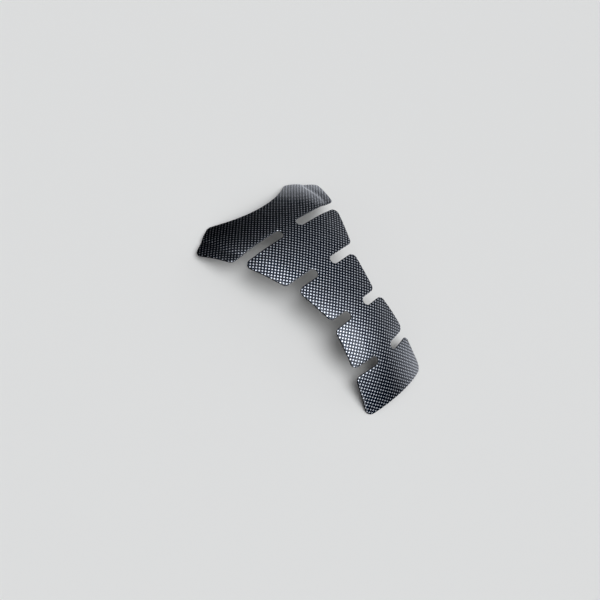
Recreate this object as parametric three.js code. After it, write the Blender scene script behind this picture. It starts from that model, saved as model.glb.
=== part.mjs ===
// Motorcycle tank pad: a stick-on protector with a winged head and four pairs
// of tabs along a narrow spine.
//
// It is one moulding, a printed film under a clear domed coat, die-cut flat and
// then pressed over a doubly curved surface. That pressed shape is built here,
// lying as it would come to rest on a table: coat up, on its rim.
//
// Millimetres. In the finished part X runs across the pad, +Y from its foot to
// its head and +Z up. The flat pattern has the same x and y, with y = 0 at the
// lowest point of the scallop in the head.

import * as THREE from "three";

const DEG = THREE.MathUtils.DEG2RAD;

// Sheet
const THICKNESS = 1.6;
const EDGE_ROUND = 0.8;

// Flat pattern: lengths along the centre line, half widths either side of it
const SCALLOP_RADIUS = 92.6;
const HORN_HALF_WIDTH = 59.9;
const TIP_HALF_WIDTH = 97.7;
const TIP_RISE = 0.5;
const HEAD_LENGTH = 42.8;
const HEAD_FOOT_HALF_WIDTH = 80.3;
const SPINE_HALF_WIDTH = 11.8;
const SLOT_WIDTH = 10.1;
const TAB_LENGTH = 47.8;
const FOOT_LENGTH = 49.3;
const FIRST_TAB_TOP = 74.9;
const FIRST_TAB_BOTTOM = 52.7;
const SECOND_TAB_TOP = 45.8;
const SECOND_TAB_BOTTOM = 35.5;
const THIRD_TAB_TOP = 38.8;
const THIRD_TAB_BOTTOM = 43.7;
const FOOT_TOP = 44.7;
const FOOT_BOTTOM = 49.9;
const FOOT_HOLLOW = 1.6;
const CORNER_RADIUS = 6.6;
const FOOT_CORNER_RADIUS = 7.6;

// Crown, side view: the spine's radius at equal stations from the scallop down
const STATION_SPACING = 50;
const SCALLOP_SPINE_RADIUS = 166;
const HEAD_SPINE_RADIUS = 104;
const FLAT = Infinity;
const THIRD_TAB_SPINE_RADIUS = 603;
const FOOT_TOP_SPINE_RADIUS = 142;
const FOOT_SPINE_RADIUS = 431;

// Crown, across: its radius over the head, which tightens towards the foot
const HEAD_CROSS_RADIUS = 562;
const FOOT_CROSS_RADIUS = 116;
const CROSS_BEND_START = 115;
const CROSS_BEND_END = 232;

// Shoulder: a soft crease that crosses the wings and dies out down the pad
const SHOULDER_ANGLE = 7.5;
const SHOULDER_HALF_WIDTH = 64.8;
const SHOULDER_TAPER = 0.283;
const SHOULDER_SOFTNESS = 2.5;
const SHOULDER_LENGTH = 190;

// Fineness of the faceted sheet
const GRID = 6;
const LINE_STEP = 5;
const ARC_STEP = 2.2;
const WALK_STEP = 1;

// Flat pattern

// Arc that rounds the corner between two straight edges of the outline.
function roundCorner(before, corner, after) {
  const toBefore = before.clone().sub(corner).normalize();
  const toAfter = after.clone().sub(corner).normalize();
  const bisector = toBefore.clone().add(toAfter).normalize();
  const halfAngle = Math.acos(bisector.dot(toAfter));
  const centre = bisector.multiplyScalar(corner.radius / Math.sin(halfAngle)).add(corner);
  const reach = corner.radius / Math.tan(halfAngle);
  const start = toBefore.multiplyScalar(reach).add(corner).sub(centre);
  const end = toAfter.multiplyScalar(reach).add(corner).sub(centre);
  return {
    centre,
    radius: corner.radius,
    from: start.angle(),
    to: end.angle(),
    clockwise: start.cross(end) < 0,
  };
}

// Arc that rounds the left horn, between the scallop and the head's top edge.
function roundHorn(horn, tip) {
  const scallopCentre = new THREE.Vector2(0, SCALLOP_RADIUS);
  const along = tip.clone().sub(horn).normalize();
  const inward = new THREE.Vector2(-along.y, along.x);
  const offset = inward.clone().multiplyScalar(CORNER_RADIUS).add(horn).sub(scallopCentre);
  const reach = SCALLOP_RADIUS + CORNER_RADIUS;
  const shift = offset.dot(along);
  const slide = -shift + Math.sqrt(shift ** 2 - offset.lengthSq() + reach ** 2);
  const centre = along.multiplyScalar(slide).add(offset).add(scallopCentre);
  return {
    centre,
    radius: CORNER_RADIUS,
    from: scallopCentre.clone().sub(centre).angle(),
    to: inward.negate().angle(),
    clockwise: false,
  };
}

function mirrorArc({ centre, radius, from, to, clockwise }) {
  return {
    centre: new THREE.Vector2(-centre.x, centre.y),
    radius,
    from: Math.PI - to,
    to: Math.PI - from,
    clockwise,
  };
}

// Corners down the left side, from the wing tip to the foot.
function leftCorners() {
  const corner = (halfWidth, y, radius) => Object.assign(new THREE.Vector2(-halfWidth, y), { radius });
  const corners = [corner(TIP_HALF_WIDTH, TIP_RISE, CORNER_RADIUS)];
  const tabs = [
    { length: TAB_LENGTH, top: FIRST_TAB_TOP, bottom: FIRST_TAB_BOTTOM },
    { length: TAB_LENGTH, top: SECOND_TAB_TOP, bottom: SECOND_TAB_BOTTOM },
    { length: TAB_LENGTH, top: THIRD_TAB_TOP, bottom: THIRD_TAB_BOTTOM },
    { length: FOOT_LENGTH, top: FOOT_TOP, bottom: FOOT_BOTTOM },
  ];
  let y = -HEAD_LENGTH;
  let halfWidth = HEAD_FOOT_HALF_WIDTH;
  for (const tab of tabs) {
    corners.push(
      corner(halfWidth, y, CORNER_RADIUS),
      corner(SPINE_HALF_WIDTH, y, SLOT_WIDTH / 2),
      corner(SPINE_HALF_WIDTH, y - SLOT_WIDTH, SLOT_WIDTH / 2),
      corner(tab.top, y - SLOT_WIDTH, CORNER_RADIUS),
    );
    y -= SLOT_WIDTH + tab.length;
    halfWidth = tab.bottom;
  }
  corners.push(corner(halfWidth, y, FOOT_CORNER_RADIUS));
  return corners;
}

// The whole outline, counter-clockwise: left side, foot, right side, scallop.
function flatPattern() {
  const hornAngle = Math.asin(HORN_HALF_WIDTH / SCALLOP_RADIUS);
  const horn = new THREE.Vector2(-HORN_HALF_WIDTH, SCALLOP_RADIUS * (1 - Math.cos(hornAngle)));
  const corners = leftCorners();
  const footBend = new THREE.Vector2(0, corners.at(-1).y + 2 * FOOT_HOLLOW);
  const stops = [horn, ...corners, footBend];
  const left = [
    roundHorn(horn, corners[0]),
    ...corners.map((corner, i) => roundCorner(stops[i], corner, stops[i + 2])),
  ];
  const right = left.map(mirrorArc).reverse();

  const shape = new THREE.Shape();
  const addArc = ({ centre, radius, from, to, clockwise }) =>
    shape.absarc(centre.x, centre.y, radius, from, to, clockwise);
  left.forEach(addArc);
  const foot = right[0];
  const footStart = new THREE.Vector2(Math.cos(foot.from), Math.sin(foot.from))
    .multiplyScalar(foot.radius).add(foot.centre);
  shape.quadraticCurveTo(footBend.x, footBend.y, footStart.x, footStart.y);
  right.forEach(addArc);
  const lastHorn = right.at(-1).centre;
  const scallopStart = Math.atan2(lastHorn.y - SCALLOP_RADIUS, lastHorn.x);
  shape.absarc(0, SCALLOP_RADIUS, SCALLOP_RADIUS, scallopStart, -Math.PI - scallopStart, true);
  return shape;
}

// Points round the outline, closer together on its arcs.
function rimPoints(shape) {
  const points = [];
  for (const curve of shape.curves) {
    const step = curve.type === "EllipseCurve" && curve.xRadius < SCALLOP_RADIUS ? ARC_STEP : LINE_STEP;
    const pieces = Math.ceil(curve.getLength() / step);
    for (const point of curve.getSpacedPoints(pieces)) {
      const isNew = !points.length || point.distanceTo(points.at(-1)) > EDGE_ROUND / 2;
      if (isNew) points.push(point);
    }
  }
  if (points[0].distanceTo(points.at(-1)) < EDGE_ROUND / 2) points.pop();
  return points;
}

// Sheet triangles

function isInside(point, rim) {
  let inside = false;
  rim.forEach((a, i) => {
    const b = rim[(i + 1) % rim.length];
    const crosses = a.y > point.y !== b.y > point.y;
    if (crosses && point.x < a.x + ((b.x - a.x) * (point.y - a.y)) / (b.y - a.y)) inside = !inside;
  });
  return inside;
}

// Staggered rows of points that fill the outline, clear of its rim.
function fillPoints(rim) {
  const box = new THREE.Box2().setFromPoints(rim);
  const rowHeight = (GRID * Math.sqrt(3)) / 2;
  const clearance = 0.65 * GRID;
  const columns = Math.ceil(box.max.x / GRID) + 1;
  const points = [];
  for (let row = 0; box.min.y + row * rowHeight < box.max.y; row++) {
    for (let column = -columns; column <= columns; column++) {
      const stagger = row % 2 ? 0.5 : 0;
      const point = new THREE.Vector2((column + stagger) * GRID, box.min.y + row * rowHeight);
      const isClear = rim.every((other) => other.distanceTo(point) > clearance);
      if (isClear && isInside(point, rim)) points.push(point);
    }
  }
  return points;
}

// Triangle of three point numbers, with the circle through its corners.
function circledTriangle(corners, points) {
  const [a, b, c] = corners.map((i) => points[i]);
  const ab = b.clone().sub(a);
  const ac = c.clone().sub(a);
  const scale = 2 * ab.cross(ac);
  const toCentre = new THREE.Vector2(
    (ac.y * ab.lengthSq() - ab.y * ac.lengthSq()) / scale,
    (ab.x * ac.lengthSq() - ac.x * ab.lengthSq()) / scale,
  );
  return { corners, centre: toCentre.clone().add(a), radius: toCentre.length() };
}

// Well-shaped (Delaunay) triangles between the points, built by adding one
// point at a time and refilling the hole that its neighbours leave.
function joinPoints(points, rim) {
  const far = 100 * TIP_HALF_WIDTH;
  const count = points.length;
  const all = [
    ...points,
    new THREE.Vector2(-far, -far),
    new THREE.Vector2(far, -far),
    new THREE.Vector2(0, far),
  ];
  let triangles = [circledTriangle([count, count + 1, count + 2], all)];
  points.forEach((point, added) => {
    const holeEdges = new Map();
    triangles = triangles.filter(({ corners, centre, radius }) => {
      if (centre.distanceTo(point) > radius) return true;
      corners.forEach((from, i) => {
        const to = corners[(i + 1) % 3];
        const isShared = holeEdges.delete(`${to} ${from}`);
        if (!isShared) holeEdges.set(`${from} ${to}`, [from, to]);
      });
      return false;
    });
    for (const [from, to] of holeEdges.values()) {
      triangles.push(circledTriangle([from, to, added], all));
    }
  });
  return triangles
    .map(({ corners }) => corners)
    .filter((corners) => corners.every((i) => i < count))
    .filter((corners) => {
      const middle = new THREE.Vector2();
      corners.forEach((i) => middle.addScaledVector(points[i], 1 / 3));
      return isInside(middle, rim);
    });
}

// Crown

const SPINE_BENDS = [
  SCALLOP_SPINE_RADIUS,
  HEAD_SPINE_RADIUS,
  FLAT,
  THIRD_TAB_SPINE_RADIUS,
  FOOT_TOP_SPINE_RADIUS,
  FOOT_SPINE_RADIUS,
].map((radius) => 1 / radius);

// Bend of the spine, one over its radius, evenly blended between its stations.
function spineBend(along) {
  const last = SPINE_BENDS.length - 1;
  const station = THREE.MathUtils.clamp(along / STATION_SPACING, 0, last);
  const i = Math.min(Math.floor(station), last - 1);
  return THREE.MathUtils.lerp(SPINE_BENDS[i], SPINE_BENDS[i + 1], station - i);
}

// Place and downward slope of the spine, walked from the scallop.
function spineAt(along) {
  const steps = Math.ceil(Math.abs(along) / WALK_STEP);
  const step = along / Math.max(steps, 1);
  let slope = 0;
  let y = 0;
  let z = 0;
  for (let i = 0; i < steps; i++) {
    const halfTurn = (spineBend((i + 0.5) * step) * step) / 2;
    slope += halfTurn;
    y -= Math.cos(slope) * step;
    z -= Math.sin(slope) * step;
    slope += halfTurn;
  }
  return { y, z, slope };
}

// Place on the section across the spine, walked outwards from the centre line.
function sectionAt(across, along) {
  const tighten = THREE.MathUtils.smoothstep(along, CROSS_BEND_START, CROSS_BEND_END);
  const bend = THREE.MathUtils.lerp(1 / HEAD_CROSS_RADIUS, 1 / FOOT_CROSS_RADIUS, tighten);
  const crease = SHOULDER_ANGLE * DEG * (1 - THREE.MathUtils.smoothstep(along, 0, SHOULDER_LENGTH));
  const creaseAt = SHOULDER_HALF_WIDTH - SHOULDER_TAPER * along;
  const steps = 32;
  const step = Math.abs(across) / steps;
  let x = 0;
  let drop = 0;
  for (let i = 0; i < steps; i++) {
    const out = (i + 0.5) * step;
    const turn = bend * out + crease / (1 + Math.exp((creaseAt - out) / SHOULDER_SOFTNESS));
    x += Math.cos(turn) * step;
    drop += Math.sin(turn) * step;
  }
  return { x: Math.sign(across) * x, drop };
}

// Point of the underside, for a point of the flat pattern.
function onCrown(x, y) {
  const spine = spineAt(-y);
  const section = sectionAt(x, -y);
  return new THREE.Vector3(
    section.x,
    spine.y + section.drop * Math.sin(spine.slope),
    spine.z - section.drop * Math.cos(spine.slope),
  );
}

// The same, raised off the underside by a height square to the sheet.
function press(x, y, height) {
  const span = GRID / 4;
  const across = onCrown(x + span, y).sub(onCrown(x - span, y));
  const along = onCrown(x, y + span).sub(onCrown(x, y - span));
  return across.cross(along).normalize().multiplyScalar(height).add(onCrown(x, y));
}

// Sheet

// Rows of the rim from the underside's cut edge, up the wall and over the
// rolled-off coat: how far each stands in from the outline, and its height.
const RIM_ROWS = [
  { inset: 0, height: 0 },
  { inset: 0, height: THICKNESS - EDGE_ROUND },
  { inset: EDGE_ROUND * (1 - Math.cos(45 * DEG)), height: THICKNESS - EDGE_ROUND * (1 - Math.sin(45 * DEG)) },
  { inset: EDGE_ROUND, height: THICKNESS },
];

function padGeometry() {
  const rim = rimPoints(flatPattern());
  const fill = fillPoints(rim);
  const faces = joinPoints([...rim, ...fill], rim);
  const inwards = rim.map((point, i) => {
    const tangent = rim[(i + 1) % rim.length].clone().sub(rim.at(i - 1));
    return new THREE.Vector2(-tangent.y, tangent.x).normalize();
  });

  const vertices = [];
  for (const { inset, height } of RIM_ROWS) {
    rim.forEach((point, i) => {
      const { x, y } = inwards[i].clone().multiplyScalar(inset).add(point);
      vertices.push(press(x, y, height));
    });
  }
  const underFill = vertices.length;
  fill.forEach(({ x, y }) => vertices.push(press(x, y, 0)));
  const topFill = vertices.length;
  fill.forEach(({ x, y }) => vertices.push(press(x, y, THICKNESS)));

  const triangles = [];
  const topRow = (RIM_ROWS.length - 1) * rim.length;
  for (const [a, b, c] of faces) {
    const top = [a, b, c].map((i) => (i < rim.length ? topRow + i : topFill + i - rim.length));
    const under = [c, b, a].map((i) => (i < rim.length ? i : underFill + i - rim.length));
    triangles.push(...top, ...under);
  }
  for (let row = 0; row < RIM_ROWS.length - 1; row++) {
    rim.forEach((_, i) => {
      const a = row * rim.length + i;
      const b = row * rim.length + ((i + 1) % rim.length);
      triangles.push(a, b, b + rim.length, a, b + rim.length, a + rim.length);
    });
  }

  const geometry = new THREE.BufferGeometry().setFromPoints(vertices);
  geometry.setIndex(triangles);
  geometry.computeVertexNormals();
  return geometry;
}

// Tip about X that lays the pad on the two places that carry it, head and foot:
// the edge of its side view's lower hull that lies under its middle.
function restTilt(geometry) {
  const position = geometry.getAttribute("position");
  const sideView = Array.from({ length: position.count }, (_, i) =>
    new THREE.Vector2(position.getY(i), position.getZ(i)));
  sideView.sort((a, b) => a.x - b.x);
  const hull = [];
  for (const point of sideView) {
    while (hull.length > 1) {
      const edge = hull.at(-1).clone().sub(hull.at(-2));
      if (edge.cross(point.clone().sub(hull.at(-2))) > 0) break;
      hull.pop();
    }
    hull.push(point);
  }
  const middle = (sideView[0].x + sideView.at(-1).x) / 2;
  const head = hull.findIndex((point) => point.x > middle);
  const edge = hull[head].clone().sub(hull[head - 1]);
  return -Math.atan2(edge.y, edge.x);
}

// Finished part: the origin lies on the table, under the middle of the pad.

const coat = new THREE.MeshStandardMaterial({ color: 0x20262b, roughness: 0.15, metalness: 0 });
const pad = new THREE.Mesh(padGeometry(), coat);
pad.name = "tank_pad";
pad.rotation.x = restTilt(pad.geometry);

const part = new THREE.Group();
part.add(pad);
const box = new THREE.Box3().setFromObject(part, true);
pad.position.set(0, -(box.min.y + box.max.y) / 2, -box.min.z);

export default part;
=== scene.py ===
import math

import bpy
import numpy as np
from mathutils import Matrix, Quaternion, Vector
from mathutils.geometry import delaunay_2d_cdt


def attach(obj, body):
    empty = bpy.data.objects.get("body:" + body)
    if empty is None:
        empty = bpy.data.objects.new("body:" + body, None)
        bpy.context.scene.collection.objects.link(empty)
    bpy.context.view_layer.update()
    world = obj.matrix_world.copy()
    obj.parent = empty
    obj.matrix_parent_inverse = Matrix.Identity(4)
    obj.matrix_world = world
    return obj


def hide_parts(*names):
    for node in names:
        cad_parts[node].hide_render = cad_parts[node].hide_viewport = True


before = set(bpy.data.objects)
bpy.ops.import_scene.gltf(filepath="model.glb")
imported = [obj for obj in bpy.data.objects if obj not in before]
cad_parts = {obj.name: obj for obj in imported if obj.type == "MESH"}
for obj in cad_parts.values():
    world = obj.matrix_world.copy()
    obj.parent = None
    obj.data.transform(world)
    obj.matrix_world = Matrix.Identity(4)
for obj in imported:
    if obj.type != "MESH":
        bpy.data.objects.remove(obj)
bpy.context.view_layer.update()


# Tank pad for a motorcycle: one moulding, a black film with a silver chequered print
# under a clear domed coat, and adhesive under it all. It is die-cut flat, then pressed
# over a crown; here it keeps that crown and lies on its rim, coat up.

MM = 0.001

SHEET_THICKNESS = 1.6 * MM
EDGE_ROUND = 0.8 * MM

# Flat pattern: y runs from the foot up to the head, and is 0 at the scallop's lowest point.
SCALLOP_RADIUS = 92.6 * MM
HORN_HALF_WIDTH = 59.9 * MM
TIP_HALF_WIDTH = 97.7 * MM
TIP_RISE = 0.5 * MM
HEAD_LENGTH = 42.8 * MM
HEAD_FOOT_HALF_WIDTH = 80.3 * MM
SPINE_HALF_WIDTH = 11.8 * MM
SLOT_WIDTH = 10.1 * MM
TAB_LENGTH = 47.8 * MM
FOOT_LENGTH = 49.3 * MM
FIRST_TAB_TOP = 74.9 * MM
FIRST_TAB_BOTTOM = 52.7 * MM
SECOND_TAB_TOP = 45.8 * MM
SECOND_TAB_BOTTOM = 35.5 * MM
THIRD_TAB_TOP = 38.8 * MM
THIRD_TAB_BOTTOM = 43.7 * MM
FOOT_TOP = 44.7 * MM
FOOT_BOTTOM = 49.9 * MM
FOOT_HOLLOW = 1.6 * MM
CORNER_RADIUS = 6.6 * MM
FOOT_CORNER_RADIUS = 7.6 * MM
ARC_STEP = 0.7 * MM
LINE_STEP = 2 * MM
FOOT_STEPS = 19
SAME_POINT = 0.008 * MM


def arc_points(centre, radius, start, turn, step):
    count = max(2, math.ceil(abs(turn) * radius / step))
    angles = start + turn * np.linspace(0, 1, count + 1)
    return centre + radius * np.column_stack([np.cos(angles), np.sin(angles)])


def unit(vector):
    return vector / np.linalg.norm(vector)


def angle_of(vector):
    return math.atan2(vector[1], vector[0])


def round_corner(before, corner, after, radius):
    """Arc between two straight edges of the outline."""
    to_before = unit(before - corner)
    to_after = unit(after - corner)
    bisector = unit(to_before + to_after)
    half_angle = math.acos(bisector @ to_after)
    centre = corner + bisector * radius / math.sin(half_angle)
    reach = radius / math.tan(half_angle)
    start = angle_of(corner + to_before * reach - centre)
    end = angle_of(corner + to_after * reach - centre)
    turn = math.remainder(end - start, 2 * math.pi)
    return arc_points(centre, radius, start, turn, ARC_STEP)


def round_horn(horn, tip):
    """Centre and arc of the left horn, between the scallop and the head's top edge."""
    scallop_centre = np.array([0, SCALLOP_RADIUS])
    along = unit(tip - horn)
    inward = np.array([-along[1], along[0]])
    offset = horn + inward * CORNER_RADIUS - scallop_centre
    reach = SCALLOP_RADIUS + CORNER_RADIUS
    shift = offset @ along
    slide = -shift + math.sqrt(shift**2 - offset @ offset + reach**2)
    centre = scallop_centre + offset + along * slide
    start = angle_of(scallop_centre - centre)
    turn = (angle_of(-inward) - start) % (2 * math.pi)
    return centre, arc_points(centre, CORNER_RADIUS, start, turn, ARC_STEP)


def left_corners():
    """Corners down the left side, from the wing tip to the foot, each with its radius."""
    corners = [(TIP_HALF_WIDTH, TIP_RISE, CORNER_RADIUS)]
    y = -HEAD_LENGTH
    half_width = HEAD_FOOT_HALF_WIDTH
    for length, top, bottom in (
        (TAB_LENGTH, FIRST_TAB_TOP, FIRST_TAB_BOTTOM),
        (TAB_LENGTH, SECOND_TAB_TOP, SECOND_TAB_BOTTOM),
        (TAB_LENGTH, THIRD_TAB_TOP, THIRD_TAB_BOTTOM),
        (FOOT_LENGTH, FOOT_TOP, FOOT_BOTTOM),
    ):
        corners.append((half_width, y, CORNER_RADIUS))
        corners.append((SPINE_HALF_WIDTH, y, SLOT_WIDTH / 2))
        corners.append((SPINE_HALF_WIDTH, y - SLOT_WIDTH, SLOT_WIDTH / 2))
        corners.append((top, y - SLOT_WIDTH, CORNER_RADIUS))
        y -= SLOT_WIDTH + length
        half_width = bottom
    corners.append((half_width, y, FOOT_CORNER_RADIUS))
    return corners


def rim_points():
    """The outline, counter-clockwise: left side, foot, right side, scallop."""
    horn_angle = math.asin(HORN_HALF_WIDTH / SCALLOP_RADIUS)
    horn = np.array([-HORN_HALF_WIDTH, SCALLOP_RADIUS * (1 - math.cos(horn_angle))])
    corners = left_corners()
    places = [np.array([-half_width, y]) for half_width, y, _ in corners]
    foot_bend = places[-1] * [0, 1] + [0, 2 * FOOT_HOLLOW]
    horn_centre, horn_arc = round_horn(horn, places[0])
    stops = [horn, *places, foot_bend]
    arcs = [
        round_corner(stops[i], stops[i + 1], stops[i + 2], radius)
        for i, (_, _, radius) in enumerate(corners)
    ]
    left = np.vstack([horn_arc, *arcs])
    right = left[::-1] * [-1, 1]
    share = np.linspace(0, 1, FOOT_STEPS + 1)[1:-1, None]
    foot = left[-1] * (1 - share) ** 2 + foot_bend * 2 * share * (1 - share) + right[0] * share**2
    start = math.atan2(horn_centre[1] - SCALLOP_RADIUS, -horn_centre[0])
    turn = -math.pi - 2 * start
    scallop = arc_points(np.array([0, SCALLOP_RADIUS]), SCALLOP_RADIUS, start, turn, LINE_STEP)
    ring = np.vstack([left, foot, right, scallop[1:-1]])
    points = []
    for here, there in zip(ring, np.roll(ring, -1, axis=0)):
        gap = np.linalg.norm(there - here)
        if gap > SAME_POINT:
            count = math.ceil(gap / LINE_STEP)
            points += [here + (there - here) * i / count for i in range(count)]
    return np.array(points)


# Crown, side view: the spine's radius at equal stations from the scallop down
STATION_SPACING = 50 * MM
SCALLOP_SPINE_RADIUS = 166 * MM
HEAD_SPINE_RADIUS = 104 * MM
FLAT = math.inf
THIRD_TAB_SPINE_RADIUS = 603 * MM
FOOT_TOP_SPINE_RADIUS = 142 * MM
FOOT_SPINE_RADIUS = 431 * MM
SPINE_START = -40 * MM
SPINE_END = 300 * MM
SPINE_STEP = 0.5 * MM

# Crown, across: its radius over the head, which tightens towards the foot
HEAD_CROSS_RADIUS = 562 * MM
FOOT_CROSS_RADIUS = 116 * MM
CROSS_BEND_START = 115 * MM
CROSS_BEND_END = 232 * MM
CROSS_STEPS = 32

# Shoulder: a soft crease that crosses the wings and dies out down the pad
SHOULDER_ANGLE = math.radians(7.5)
SHOULDER_HALF_WIDTH = 64.8 * MM
SHOULDER_TAPER = 0.283
SHOULDER_SOFTNESS = 2.5 * MM
SHOULDER_LENGTH = 190 * MM

# Body line: a narrow groove that each wing is pressed into
GROOVE_DEPTH = 1.0 * MM
GROOVE_INNER_WIDTH = 2.8 * MM
GROOVE_OUTER_WIDTH = 6.5 * MM
GROOVE_MIDDLE = -15 * MM
GROOVE_HALF_WIDTH = 74.4 * MM
GROOVE_TAPER = 0.1
GROOVE_FLARE_PER_SQUARE_METRE = 250
GROOVE_FADE_START = 32 * MM
GROOVE_END = 70 * MM


def ease(low, high, value):
    share = np.clip((value - low) / (high - low), 0, 1)
    return share * share * (3 - 2 * share)


def walk_spine(start, end):
    """Distances along the spine, with its place and downward slope at each."""
    radii = np.array([
        SCALLOP_SPINE_RADIUS,
        HEAD_SPINE_RADIUS,
        FLAT,
        THIRD_TAB_SPINE_RADIUS,
        FOOT_TOP_SPINE_RADIUS,
        FOOT_SPINE_RADIUS,
    ])
    along = np.arange(start, end, SPINE_STEP)
    station = (along[:-1] + SPINE_STEP / 2) / STATION_SPACING
    turns = np.interp(station, np.arange(len(radii)), 1 / radii) * SPINE_STEP
    slope = np.append(0, np.cumsum(turns))
    slope -= np.interp(0, along, slope)
    middle = (slope[1:] + slope[:-1]) / 2
    y = np.append(0, np.cumsum(-np.cos(middle) * SPINE_STEP))
    z = np.append(0, np.cumsum(-np.sin(middle) * SPINE_STEP))
    return along, y - np.interp(0, along, y), z - np.interp(0, along, z), slope


spine = walk_spine(SPINE_START, SPINE_END)


def on_crown(x, y):
    """Points of the underside, for points of the flat pattern."""
    along = -y
    tighten = ease(CROSS_BEND_START, CROSS_BEND_END, along)
    bend = (1 - tighten) / HEAD_CROSS_RADIUS + tighten / FOOT_CROSS_RADIUS
    crease = SHOULDER_ANGLE * (1 - ease(0, SHOULDER_LENGTH, along))
    crease_at = SHOULDER_HALF_WIDTH - SHOULDER_TAPER * along
    out = np.abs(x)[:, None] * (np.arange(CROSS_STEPS) + 0.5) / CROSS_STEPS
    past_crease = 1 / (1 + np.exp((crease_at[:, None] - out) / SHOULDER_SOFTNESS))
    turn = bend[:, None] * out + crease[:, None] * past_crease
    drop = np.sin(turn).mean(1) * np.abs(x)
    spine_y, spine_z, slope = (np.interp(along, spine[0], track) for track in spine[1:])
    return np.column_stack([
        np.cos(turn).mean(1) * x,
        spine_y + drop * np.sin(slope),
        spine_z - drop * np.cos(slope),
    ])


def groove(x, y):
    """How deep the sheet is pressed into the body line, which flares towards the head."""
    above = y - GROOVE_MIDDLE
    line = GROOVE_HALF_WIDTH + GROOVE_TAPER * above + GROOVE_FLARE_PER_SQUARE_METRE * above**3
    from_line = np.abs(x) - line
    width = np.where(from_line < 0, GROOVE_INNER_WIDTH, GROOVE_OUTER_WIDTH)
    left_over = 1 - ease(GROOVE_FADE_START, GROOVE_END, -y)
    return GROOVE_DEPTH * np.exp(-((from_line / width) ** 2)) * left_over


SLOPE_REACH = 1.5 * MM


def press(flat, height):
    """Points of the flat pattern on the crown, at a height square to its underside."""
    x, y = flat.T
    across = on_crown(x + SLOPE_REACH, y) - on_crown(x - SLOPE_REACH, y)
    along = on_crown(x, y + SLOPE_REACH) - on_crown(x, y - SLOPE_REACH)
    normal = np.cross(across, along)
    normal /= np.linalg.norm(normal, axis=1)[:, None]
    return on_crown(x, y) + normal * (height - groove(x, y))[:, None]


TIPPING_ROUNDS = 12


def lay_down(points):
    """Tips the pad about X until head and foot both touch the table, and centres it there."""
    head = points[:, 1] > (points[:, 1].min() + points[:, 1].max()) / 2
    tip = 0
    for _ in range(TIPPING_ROUNDS):
        y = points[:, 1] * math.cos(tip) - points[:, 2] * math.sin(tip)
        z = points[:, 1] * math.sin(tip) + points[:, 2] * math.cos(tip)
        at_head = np.where(head, z, np.inf).argmin()
        at_foot = np.where(head, np.inf, z).argmin()
        tip -= math.atan2(z[at_head] - z[at_foot], y[at_head] - y[at_foot])
    return np.column_stack([points[:, 0], y - (y.min() + y.max()) / 2, z - z.min()])


GRID = 1.5 * MM
FILL_CLEARANCE = GRID / 3


def fill_points(rim):
    """Staggered rows of points that fill the outline, clear of its rim, and how far each is from it."""
    low = rim.min(axis=0)
    high = rim.max(axis=0)
    row_height = GRID * math.sqrt(3) / 2
    rows = np.arange(low[1], high[1], row_height)
    columns = np.arange(-math.ceil(high[0] / GRID), math.ceil(high[0] / GRID) + 1)
    stagger = np.where(np.arange(len(rows)) % 2, GRID / 2, 0)
    across = columns[None, :] * GRID + stagger[:, None]
    grid = np.column_stack([across.ravel(), np.repeat(rows, len(columns))])
    x, y = grid[:, 0, None], grid[:, 1, None]
    ahead = np.roll(rim, -1, axis=0)
    edge = ahead - rim
    crosses = (rim[:, 1] > y) != (ahead[:, 1] > y)
    with np.errstate(divide="ignore", invalid="ignore"):
        crossing = rim[:, 0] + edge[:, 0] * (y - rim[:, 1]) / edge[:, 1]
    inside = (crosses & (x < crossing)).sum(axis=1) % 2 == 1
    along_edge = (x - rim[:, 0]) * edge[:, 0] + (y - rim[:, 1]) * edge[:, 1]
    share = np.clip(along_edge / (edge**2).sum(axis=1), 0, 1)
    beside_x = x - rim[:, 0] - share * edge[:, 0]
    beside_y = y - rim[:, 1] - share * edge[:, 1]
    distance = np.hypot(beside_x, beside_y).min(axis=1)
    keep = inside & (distance > EDGE_ROUND + FILL_CLEARANCE)
    return grid[keep], distance[keep]


rim = rim_points()
fill, fill_from_rim = fill_points(rim)
rim_count = len(rim)
tangent = np.roll(rim, -1, axis=0) - np.roll(rim, 1, axis=0)
inward = np.column_stack([-tangent[:, 1], tangent[:, 0]]) / np.linalg.norm(tangent, axis=1)[:, None]

# Triangles of the flat sheet, numbered rim first and then fill
ONLY_INSIDE = 1
MERGE_DISTANCE = 1e-7
flat_points = np.vstack([rim, fill])
flat_vectors = [Vector(point) for point in flat_points.tolist()]
rim_edges = [(i, (i + 1) % rim_count) for i in range(rim_count)]
joined = delaunay_2d_cdt(flat_vectors, rim_edges, [], ONLY_INSIDE, MERGE_DISTANCE)
first_source = np.array([sources[0] for sources in joined[3]])
sheet_faces = first_source[np.array(joined[2])]
a, b, c = (flat_points[sheet_faces[:, i]] for i in range(3))
turns_back = np.cross(b - a, c - a) < 0
sheet_faces[turns_back] = sheet_faces[turns_back, ::-1]

# Rows round the rim, from the foot of the cut wall up over the rolled edge of the coat
ROLL_STEPS = 6
roll = np.linspace(0, math.pi / 2, ROLL_STEPS + 1)
insets = np.append(0, EDGE_ROUND * (1 - np.cos(roll)))
heights = np.append(0, SHEET_THICKNESS - EDGE_ROUND * (1 - np.sin(roll)))
row_flats = [rim + inward * inset for inset in insets]
top_row = (len(insets) - 1) * rim_count
under_fill = top_row + rim_count
top_fill = under_fill + len(fill)

flats = np.vstack([*row_flats, fill, fill])
from_rim = np.concatenate([np.repeat(insets, rim_count), fill_from_rim, fill_from_rim])
lift = np.concatenate([
    np.repeat(heights, rim_count),
    np.zeros(len(fill)),
    np.full(len(fill), SHEET_THICKNESS),
])
places = lay_down(press(flats, lift))

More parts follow.
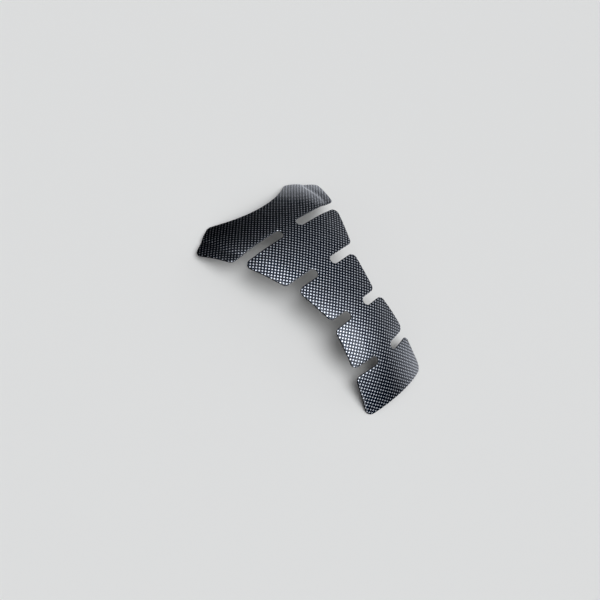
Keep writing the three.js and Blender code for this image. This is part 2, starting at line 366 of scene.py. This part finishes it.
on_rim = sheet_faces < rim_count
top_faces = np.where(on_rim, top_row + sheet_faces, top_fill + sheet_faces - rim_count)
under_faces = np.where(on_rim, sheet_faces, under_fill + sheet_faces - rim_count)[:, ::-1]
rim_faces = [
    (row * rim_count + i, row * rim_count + j, (row + 1) * rim_count + j, (row + 1) * rim_count + i)
    for row in range(len(insets) - 1)
    for i, j in rim_edges
]

SHARP_ANGLE = math.radians(50)
pad_mesh = bpy.data.meshes.new("woven_look_pad")
pad_mesh.from_pydata(places.tolist(), [], [*top_faces.tolist(), *rim_faces, *under_faces.tolist()])
pad_mesh.shade_smooth()
pad_mesh.set_sharp_from_angle(angle=SHARP_ANGLE)
pad = bpy.data.objects.new("woven_look_pad", pad_mesh)
bpy.context.scene.collection.objects.link(pad)

# Two maps: the print's own, in metres of flat sheet, and one for baking that keeps
# the underside, at half size, beside the coat with its wall unrolled round it.
BAKE_SPAN = 304 * MM
BAKE_MARGIN = 2 * MM
UNDER_SCALE = 0.5

loop_vertex = np.zeros(len(pad_mesh.loops), dtype=np.int32)
pad_mesh.loops.foreach_get("vertex_index", loop_vertex)
is_under_face = np.arange(len(pad_mesh.polygons)) >= len(top_faces) + len(rim_faces)
face_sizes = np.array([face.loop_total for face in pad_mesh.polygons])
is_under_loop = np.repeat(is_under_face, face_sizes)

unrolled = flats.copy()
unrolled[:rim_count] -= inward * (SHEET_THICKNESS - EDGE_ROUND)
low_corner = unrolled.min(axis=0)
coat_map = (unrolled - low_corner + BAKE_MARGIN) / BAKE_SPAN
under_corner = [coat_map[:, 0].max() + 2 * BAKE_MARGIN / BAKE_SPAN, BAKE_MARGIN / BAKE_SPAN]
under_map = (flats - flats.min(axis=0)) * UNDER_SCALE / BAKE_SPAN + under_corner
bake_places = np.where(is_under_loop[:, None], under_map[loop_vertex], coat_map[loop_vertex])
bake_layer = pad_mesh.uv_layers.new(name="OFBake")
bake_layer.uv.foreach_set("vector", bake_places.astype(np.float32).ravel())
print_layer = pad_mesh.uv_layers.new(name="flat_sheet")
print_layer.uv.foreach_set("vector", flats[loop_vertex].astype(np.float32).ravel())
rim_attribute = pad_mesh.attributes.new("from_rim", "FLOAT", "POINT")
rim_attribute.data.foreach_set("value", from_rim.astype(np.float32))


class Value:
    """An output of a node. Arithmetic on it adds Math nodes, and node() adds any other."""

    def __init__(self, tree, socket):
        self.tree = tree
        self.socket = socket

    def node(self, kind, settings, sockets, output=0):
        return add_node(self.tree, kind, settings, sockets, output)

    def math(self, operation, *others):
        return self.node("ShaderNodeMath", {"operation": operation}, dict(enumerate([self, *others])))

    def __add__(self, other):
        return self.math("ADD", other)

    def __sub__(self, other):
        return self.math("SUBTRACT", other)

    def __mul__(self, other):
        return self.math("MULTIPLY", other)

    def __rsub__(self, other):
        return self.node("ShaderNodeMath", {"operation": "SUBTRACT"}, {0: other, 1: self})

    __radd__ = __add__
    __rmul__ = __mul__

    def cosine(self):
        return self.math("COSINE")

    def size(self):
        return self.math("ABSOLUTE")

    def root(self):
        return self.math("SQRT")

    def is_above(self, level):
        return self.math("GREATER_THAN", level)

    def smaller(self, other, rounding):
        """The smaller of two values, with the change from one to the other rounded off."""
        return self.math("SMOOTH_MIN", other, rounding)

    def between(self, low, high):
        """0 at low, 1 at high and eased in between."""
        return self.node(
            "ShaderNodeMapRange",
            {"interpolation_type": "SMOOTHSTEP"},
            {"Value": self, "From Min": low, "From Max": high},
        )

    def mix(self, at_zero, at_one):
        """The colour at_zero where this is 0, at_one where it is 1."""
        return self.node(
            "ShaderNodeMix",
            {"data_type": "RGBA"},
            {0: self, 6: at_zero, 7: at_one},
            output=2,
        )

    def vector_math(self, operation, *others, output="Vector"):
        sockets = dict(enumerate([self, *others]))
        return self.node("ShaderNodeVectorMath", {"operation": operation}, sockets, output)

    def dot(self, vector):
        return self.vector_math("DOT_PRODUCT", vector, output="Value")


def add_node(tree, kind, settings, sockets, output=0):
    """Adds a node: its settings first, then the values or links of its sockets."""
    node = tree.nodes.new(kind)
    for name, setting in settings.items():
        setattr(node, name, setting)
    for name, value in sockets.items():
        if isinstance(value, Value):
            tree.links.new(value.socket, node.inputs[name])
        else:
            node.inputs[name].default_value = value
    return Value(tree, node.outputs[output]) if len(node.outputs) else node


def new_material(name):
    material = bpy.data.materials.new(name)
    material.use_nodes = True
    material.node_tree.nodes.clear()
    return material


def finish_with(material, shader):
    add_node(material.node_tree, "ShaderNodeOutputMaterial", {}, {"Surface": shader})


# Print and coat: the squares, the threads drawn in them, their colours and the gloss
CHEQUER = 2.398 * MM
SQUARE_ROUNDING = 0.25
SQUARE_EDGE = (0.50, 0.60)
SILVER_SIDE = (0, 0.05)
TOW_EDGE = (0.1, 0.7)
THREAD_WIDTH = 0.25 * MM
THREAD_LENGTH = 4 * MM
THREAD_DETAIL = 1.0
TOW_THREAD_TONES = (0.3, 0.6)
SILVER_THREAD_TONES = (0.3, 0.7)
THREAD_SHARE = 0.5
PRINT_MARGIN = 0.15 * MM
PRINT_EDGE_SOFTNESS = 0.1 * MM
SILVER = (0.92, 0.95, 1.00, 1)
SILVER_SHADE = (0.68, 0.71, 0.76, 1)
FILM_BLACK = (0.0005, 0.003, 0.009, 1)
TOW_BLUE = (0.001, 0.016, 0.038, 1)
PRINT_ROUGHNESS = 0.4
COAT_ROUGHNESS = 0.03
COAT_IOR = 1.5


def woven_look_coat():
    """Black film with silver squares on a chequer, fine threads in both, under a clear gloss coat."""
    material = new_material("woven_look_coat")
    tree = material.node_tree
    place = add_node(tree, "ShaderNodeUVMap", {"uv_map": "flat_sheet"}, {})
    across = place.node("ShaderNodeSeparateXYZ", {}, {0: place}, output="X")
    along = place.node("ShaderNodeSeparateXYZ", {}, {0: place}, output="Y")
    from_edge = add_node(tree, "ShaderNodeAttribute", {"attribute_name": "from_rim"}, {}, output="Fac")

    def threads(width, length):
        drawn_out = place.vector_math("DIVIDE", (width, length, 1))
        sockets = {"Vector": drawn_out, "Scale": 1.0, "Detail": THREAD_DETAIL}
        return place.node("ShaderNodeTexNoise", {}, sockets)

    # The product of the waves is above 0 on silver squares and below 0 on dark ones
    across_wave = (across * (math.pi / CHEQUER)).cosine()
    along_wave = (along * (math.pi / CHEQUER)).cosine()
    chequer = across_wave * along_wave
    squareness = across_wave.size().smaller(along_wave.size(), SQUARE_ROUNDING)
    printed = from_edge.between(PRINT_MARGIN - PRINT_EDGE_SOFTNESS, PRINT_MARGIN + PRINT_EDGE_SOFTNESS)
    silver_square = squareness.between(*SQUARE_EDGE) * chequer.between(*SILVER_SIDE) * printed
    tow_threads = threads(THREAD_LENGTH, THREAD_WIDTH).between(*TOW_THREAD_TONES)
    dark_tow = (0 - chequer).between(*TOW_EDGE) * printed * tow_threads

    # Each silver square has a tone of its own, and threads that run along the pad
    cell = place.vector_math("DIVIDE", (CHEQUER, CHEQUER, 1)).vector_math("ADD", (0.5, 0.5, 0))
    whole_cell = {0: cell.vector_math("FLOOR")}
    square_tone = cell.node("ShaderNodeTexWhiteNoise", {"noise_dimensions": "2D"}, whole_cell)
    silver_threads = threads(THREAD_WIDTH, THREAD_LENGTH).between(*SILVER_THREAD_TONES)
    silver_tone = square_tone * (1 - THREAD_SHARE) + silver_threads * THREAD_SHARE

    film = dark_tow.mix(FILM_BLACK, TOW_BLUE)
    silver = silver_tone.mix(SILVER_SHADE, SILVER)
    shader = add_node(tree, "ShaderNodeBsdfPrincipled", {}, {
        "Base Color": silver_square.mix(film, silver),
        "Metallic": 1.0,
        "Roughness": PRINT_ROUGHNESS,
        "Coat Weight": 1.0,
        "Coat Roughness": COAT_ROUGHNESS,
        "Coat IOR": COAT_IOR,
    })
    finish_with(material, shader)
    return material


ADHESIVE_DARK = (0.018, 0.019, 0.021, 1)
ADHESIVE_LIGHT = (0.034, 0.035, 0.037, 1)
MOTTLE_SCALE = 260.0
MOTTLE_DETAIL = 3.0
ADHESIVE_ROUGHNESS = 0.4
MOTTLE_ROUGHNESS = 0.2


def adhesive_back():
    """Clear adhesive on the black film: satin, a little uneven."""
    material = new_material("adhesive_back")
    tree = material.node_tree
    mottle = add_node(tree, "ShaderNodeTexNoise", {}, {"Scale": MOTTLE_SCALE, "Detail": MOTTLE_DETAIL})
    shader = add_node(tree, "ShaderNodeBsdfPrincipled", {}, {
        "Base Color": mottle.mix(ADHESIVE_DARK, ADHESIVE_LIGHT),
        "Roughness": mottle * MOTTLE_ROUGHNESS + ADHESIVE_ROUGHNESS,
    })
    finish_with(material, shader)
    return material


pad_mesh.materials.append(woven_look_coat())
pad_mesh.materials.append(adhesive_back())
pad_mesh.polygons.foreach_set("material_index", is_under_face.astype(np.int32))

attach(pad, "root")
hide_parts("tank_pad")


# Table: a plain sweep of pale matt card that the pad lies on, wide enough to reach past
# every view. Gloss doesn't mirror it: two low ovals of the studio light stand for it.

TABLE_HALF_WIDTH = 6.0
TABLE_COLOUR = (0.90, 0.88, 0.82, 1)
TABLE_ROUGHNESS = 0.8
TABLE_SPECULAR = 0.2

table_mesh = bpy.data.meshes.new("table")
table_signs = [(-1, -1), (1, -1), (1, 1), (-1, 1)]
table_corners = [(x * TABLE_HALF_WIDTH, y * TABLE_HALF_WIDTH, 0) for x, y in table_signs]
table_mesh.from_pydata(table_corners, [], [(0, 1, 2, 3)])
table = bpy.data.objects.new("table", table_mesh)
bpy.context.scene.collection.objects.link(table)
table.visible_glossy = False
card = new_material("pale_card")
finish_with(card, add_node(card.node_tree, "ShaderNodeBsdfPrincipled", {}, {
    "Base Color": TABLE_COLOUR,
    "Roughness": TABLE_ROUGHNESS,
    "Specular IOR Level": TABLE_SPECULAR,
}))
table_mesh.materials.append(card)


# Studio light: oval softboxes with feathered edges round an otherwise dark room, most of
# them overhead, with two low ovals for the pale surround. The camera itself sees only a
# pale backdrop behind the table.

LIGHT_WHITE = (0.90, 0.93, 1.0, 1)
BACKDROP = (0.70, 0.70, 0.70, 1)


def towards(azimuth, elevation):
    """Direction at an azimuth, 0 at +Y and 90 at +X, and an elevation, in degrees."""
    around = math.radians(azimuth)
    up = math.radians(elevation)
    return Vector((math.sin(around) * math.cos(up), math.cos(around) * math.cos(up), math.sin(up)))


def softbox(direction, azimuth, elevation, half_size, feather, radiance):
    """Light that comes in from a direction, out of one oval.

    Its half width and half height are sines of the angle from its middle to its edge.
    """
    middle = towards(azimuth, elevation)
    sideways = towards(azimuth + 90, 0)
    upright = sideways.cross(middle)
    across = direction.dot(sideways / half_size[0])
    along = direction.dot(upright / half_size[1])
    from_middle = (across * across + along * along).root()
    in_front = direction.dot(middle).is_above(0)
    return (1 - from_middle.between(1 - feather, 1 + feather)) * in_front * radiance


world = bpy.data.worlds.new("studio")
world.use_nodes = True
world.node_tree.nodes.clear()
incoming = add_node(world.node_tree, "ShaderNodeTexCoord", {}, {}, output="Generated")
overhead = softbox(incoming, 197, 74.6, half_size=(0.47, 0.49), feather=0.08, radiance=1.64)
overhead_spill = softbox(incoming, 173, 69.7, half_size=(0.60, 0.52), feather=0.23, radiance=0.60)
overhead_glow = softbox(incoming, 305, 78, half_size=(0.52, 0.45), feather=0.98, radiance=0.96)
foot_spot = softbox(incoming, 194, 32, half_size=(0.06, 0.14), feather=0.26, radiance=3.48)
foot_glow = softbox(incoming, 126, 5.5, half_size=(0.26, 0.33), feather=0.80, radiance=0.69)
low_card = softbox(incoming, 55, -14, half_size=(0.28, 0.47), feather=0.12, radiance=0.54)
low_surround = softbox(incoming, 140, -40, half_size=(0.93, 0.62), feather=0.35, radiance=0.60)
right_glow = softbox(incoming, 95, 27.6, half_size=(0.44, 0.23), feather=0.97, radiance=0.50)
left_strip = softbox(incoming, 272, 20, half_size=(0.60, 0.16), feather=0.60, radiance=0.55)
from_above = overhead + overhead_spill + overhead_glow + foot_spot
from_around = foot_glow + low_card + low_surround + right_glow + left_strip
studio_light = {"Color": LIGHT_WHITE, "Strength": from_above + from_around}
room = add_node(world.node_tree, "ShaderNodeBackground", {}, studio_light)
backdrop = add_node(world.node_tree, "ShaderNodeBackground", {}, {"Color": BACKDROP})
seen_by_camera = add_node(world.node_tree, "ShaderNodeLightPath", {}, {}, output="Is Camera Ray")
surround = add_node(world.node_tree, "ShaderNodeMixShader", {}, {0: seen_by_camera, 1: room, 2: backdrop})
add_node(world.node_tree, "ShaderNodeOutputWorld", {}, {"Surface": surround})
bpy.context.scene.world = world
bpy.context.scene.view_settings.view_transform = "Standard"


# Camera: a plain camera at the photograph's own place, looking down across the pad from
# its left and turned about its line of sight as that picture is.

CAMERA_EYE = Vector((-0.3978, -0.0459, 0.5900))
CAMERA_AIM = Vector((-0.0237, 0.0133, 0))
CAMERA_ROLL = math.radians(44.08)
CAMERA_LENS = 37.26
SENSOR_WIDTH = 36
CLIP_START = 0.01

camera_data = bpy.data.cameras.new("camera")
camera_data.sensor_width = SENSOR_WIDTH
camera_data.lens = CAMERA_LENS
camera_data.clip_start = CLIP_START
camera = bpy.data.objects.new("camera", camera_data)
camera.location = CAMERA_EYE
camera.rotation_mode = "QUATERNION"
level = (CAMERA_AIM - CAMERA_EYE).to_track_quat("-Z", "Y")
camera.rotation_quaternion = level @ Quaternion((0, 0, 1), CAMERA_ROLL)
bpy.context.scene.collection.objects.link(camera)
bpy.context.scene.camera = camera
